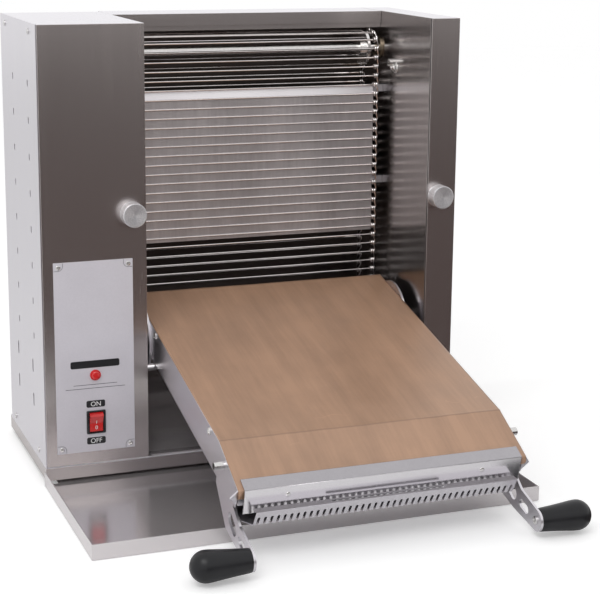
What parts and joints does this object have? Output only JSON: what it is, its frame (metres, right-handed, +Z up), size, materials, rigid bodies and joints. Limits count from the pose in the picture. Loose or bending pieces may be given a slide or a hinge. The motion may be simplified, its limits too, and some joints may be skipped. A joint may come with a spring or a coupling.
{
  "type": "conveyor toaster",
  "caption": "Vertical contact toaster with a wire belt in a well between two cabinets, a tip-out heated door, thickness adjusters, rocker switch and landing tray.",
  "frame": {"origin": "middle of the bottom of the bounding box, on the surface that the feet stand on, with the door open", "axes": "+X to the operator's right, +Y to the back, +Z up"},
  "size_m": [0.5862, 0.6216, 0.589],
  "materials": {
    "steel_front": "brushed stainless sheet, satin",
    "steel_side": "brushed stainless sheet, light",
    "steel_bright": "bright annealed stainless sheet",
    "control_face": "smooth light grey, satin",
    "black_rubber": "matt",
    "black_plastic": "glossy black",
    "black_matt": "matt black",
    "red_lens": "clear red, glossy",
    "knob_metal": "turned",
    "screw_steel": "bright",
    "shaft_steel": "ground",
    "belt_wire": "bright drawn wire",
    "brass_bush": "machined",
    "motor_grey": "satin",
    "cast_platen": "cast, dull",
    "ptfe_brown": "coated glass cloth, satin brown",
    "element_metal": "heat-stained",
    "blanket_white": "ceramic wool"
  },
  "bodies": {
    "body": {"base_pan": "steel_front", "base_deck": "steel_side", "rubber_feet": "black_rubber", "cabinet_shell": "steel_front", "cabinet_side_cover": "steel_side", "cover_screws": "screw_steel", "column_shell": "steel_front", "column_liner": "steel_bright", "rear_panel": "steel_side", "top_cover": "steel_front", "exit_chute": "steel_bright", "control_plate": "control_face", "plate_screws": "screw_steel", "switch_body": "black_plastic", "lamp_body": "red_lens", "lamp_lens": "red_lens", "spindle_bushes": "brass_bush", "spindle_supports": "steel_side", "shaft_bearings": "brass_bush", "gearmotor": "motor_grey", "motor_bracket": "steel_side", "thermostat": "black_matt", "cable_gland": "black_matt", "hinge_pins": "shaft_steel", "stop_bolts": "screw_steel"},
    "rocker": {"switch_rocker": "red_lens"},
    "left_adjuster": {"knob_left": "knob_metal", "spindle_left": "shaft_steel"},
    "right_adjuster": {"knob_right": "knob_metal", "spindle_right": "shaft_steel"},
    "pressure_plate": {"backing_plate": "steel_bright", "plate_arms": "steel_side"},
    "top_roller": {"top_shaft": "shaft_steel", "top_sprockets": "shaft_steel", "belt_top_wrap": "belt_wire"},
    "drive_roller": {"drive_shaft": "shaft_steel", "drive_sprockets": "shaft_steel", "belt_bottom_wrap": "belt_wire"},
    "front_run": {"belt_front_run": "belt_wire"},
    "rear_run": {"belt_rear_run": "belt_wire"},
    "tray": {"landing_tray": "steel_bright"},
    "door": {"platen": "cast_platen", "ptfe_sheet": "ptfe_brown", "sheet_clip": "steel_side", "door_side_left": "steel_side", "door_side_right": "steel_side", "door_pan": "steel_side", "platen_heater": "element_metal", "insulation_blanket": "blanket_white", "door_cover": "steel_side", "cover_standoffs": "screw_steel", "hinge_discs": "steel_side", "guide_tubes": "screw_steel", "lever_left": "steel_side", "lever_right": "steel_side", "grip_left": "black_plastic", "grip_right": "black_plastic", "door_screws": "screw_steel"}
  },
  "joints": [
    {"name": "door_hinge", "type": "hinge", "parent": "body", "child": "door", "pos_m": [0.04208, 0.15184, 0.165], "axis": [-1, 0, 0], "range_deg": [0, 103.6]},
    {"name": "rocker_press", "type": "hinge", "parent": "body", "child": "rocker", "pos_m": [-0.22428, 0.07385, 0.0795], "axis": [-1, 0, 0], "range_deg": [0, 26]},
    {"name": "knob_left_turn", "type": "hinge", "parent": "body", "child": "left_adjuster", "pos_m": [-0.17308, 0.07185, 0.35], "axis": [0, -1, 0], "range_deg": [0, 1728]},
    {"name": "knob_right_turn", "type": "hinge", "parent": "body", "child": "right_adjuster", "pos_m": [0.25543, 0.07185, 0.35], "axis": [0, -1, 0], "range_deg": [0, 1728]},
    {"name": "plate_slide", "type": "slide", "parent": "body", "child": "pressure_plate", "axis": [0, 1, 0], "range_m": [0, 0.006]},
    {"name": "drive_turn", "type": "hinge", "parent": "body", "child": "drive_roller", "pos_m": [0.04208, 0.24478, 0.1307], "axis": [1, 0, 0], "range_deg": [0, 30]},
    {"name": "top_turn", "type": "hinge", "parent": "body", "child": "top_roller", "pos_m": [0.04208, 0.24478, 0.5371], "axis": [1, 0, 0], "range_deg": [0, 30]},
    {"name": "front_run_slide", "type": "slide", "parent": "body", "child": "front_run", "axis": [0, 0, -1], "range_m": [0, 0.0127]},
    {"name": "rear_run_slide", "type": "slide", "parent": "body", "child": "rear_run", "axis": [0, 0, 1], "range_m": [0, 0.0127]},
    {"name": "tray_slide", "type": "slide", "parent": "body", "child": "tray", "axis": [0, -1, 0], "range_m": [0, 0.04]}
  ],
  "couplings": [
    {"joint": "knob_left_turn", "follows": "plate_slide", "rad_per_m": 5026.5},
    {"joint": "knob_right_turn", "follows": "plate_slide", "rad_per_m": 5026.5},
    {"joint": "top_turn", "follows": "drive_turn", "ratio": 1},
    {"joint": "front_run_slide", "follows": "drive_turn", "m_per_rad": 0.024255},
    {"joint": "rear_run_slide", "follows": "drive_turn", "m_per_rad": 0.024255}
  ]
}
